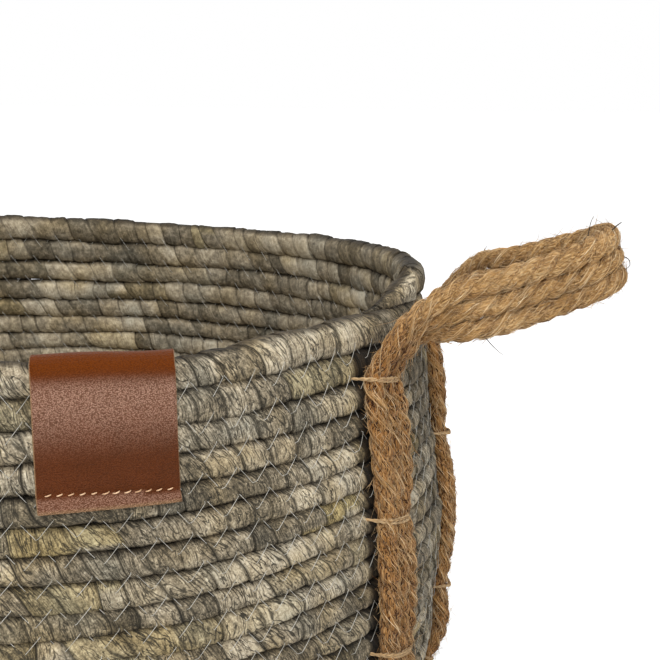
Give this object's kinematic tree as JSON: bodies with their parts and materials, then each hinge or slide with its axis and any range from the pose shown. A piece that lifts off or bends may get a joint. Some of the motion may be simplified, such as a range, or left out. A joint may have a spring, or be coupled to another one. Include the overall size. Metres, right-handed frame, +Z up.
{
  "type": "basket with handle",
  "caption": "Round basket coiled from one leaf-wrapped rope, with jute rope loop handles lashed to its wall and a plain leather label folded over the rim.",
  "frame": {"origin": "centre of the basket's footprint, on the surface that it stands on", "axes": "+Z up along the basket's axis; +X through the middle of the right handle; -Y to the front, where the label is, right of the middle"},
  "size_m": [0.5232, 0.3666, 0.2234],
  "materials": {
    "leaf_rope": "leaf-wrapped rope, grey-green, matt",
    "jute_rope": "laid jute rope, fuzzy, matt",
    "jute_yarn": "jute yarn, matt",
    "leather": "smooth chestnut leather, soft sheen",
    "cotton_thread": "waxed thread"
  },
  "bodies": {
    "basket": {"wall_coil": "leaf_rope", "base_coil": "leaf_rope", "label": "leather", "label_thread": "cotton_thread", "right_front_rope_1": "jute_rope", "right_front_rope_2": "jute_rope", "right_front_rope_3": "jute_rope", "right_front_lashing_1": "jute_yarn", "right_front_lashing_2": "jute_yarn", "right_front_lashing_3": "jute_yarn", "right_front_lashing_4": "jute_yarn", "right_back_rope_1": "jute_rope", "right_back_rope_2": "jute_rope", "right_back_rope_3": "jute_rope", "right_back_lashing_1": "jute_yarn", "right_back_lashing_2": "jute_yarn", "right_back_lashing_3": "jute_yarn", "right_back_lashing_4": "jute_yarn", "left_front_rope_1": "jute_rope", "left_front_rope_2": "jute_rope", "left_front_rope_3": "jute_rope", "left_front_lashing_1": "jute_yarn", "left_front_lashing_2": "jute_yarn", "left_front_lashing_3": "jute_yarn", "left_front_lashing_4": "jute_yarn", "left_back_rope_1": "jute_rope", "left_back_rope_2": "jute_rope", "left_back_rope_3": "jute_rope", "left_back_lashing_1": "jute_yarn", "left_back_lashing_2": "jute_yarn", "left_back_lashing_3": "jute_yarn", "left_back_lashing_4": "jute_yarn"},
    "right_handle": {"right_loop_rope_1": "jute_rope", "right_loop_rope_2": "jute_rope", "right_loop_rope_3": "jute_rope"},
    "left_handle": {"left_loop_rope_1": "jute_rope", "left_loop_rope_2": "jute_rope", "left_loop_rope_3": "jute_rope"}
  },
  "joints": [
    {"name": "right_handle_fold", "type": "hinge", "parent": "basket", "child": "right_handle", "pos_m": [0.17878, 0, 0.18173], "axis": [0, -1, 0], "range_deg": [-45, 60]},
    {"name": "left_handle_fold", "type": "hinge", "parent": "basket", "child": "left_handle", "pos_m": [-0.17878, 0, 0.18173], "axis": [0, 1, 0], "range_deg": [-45, 60]}
  ]
}
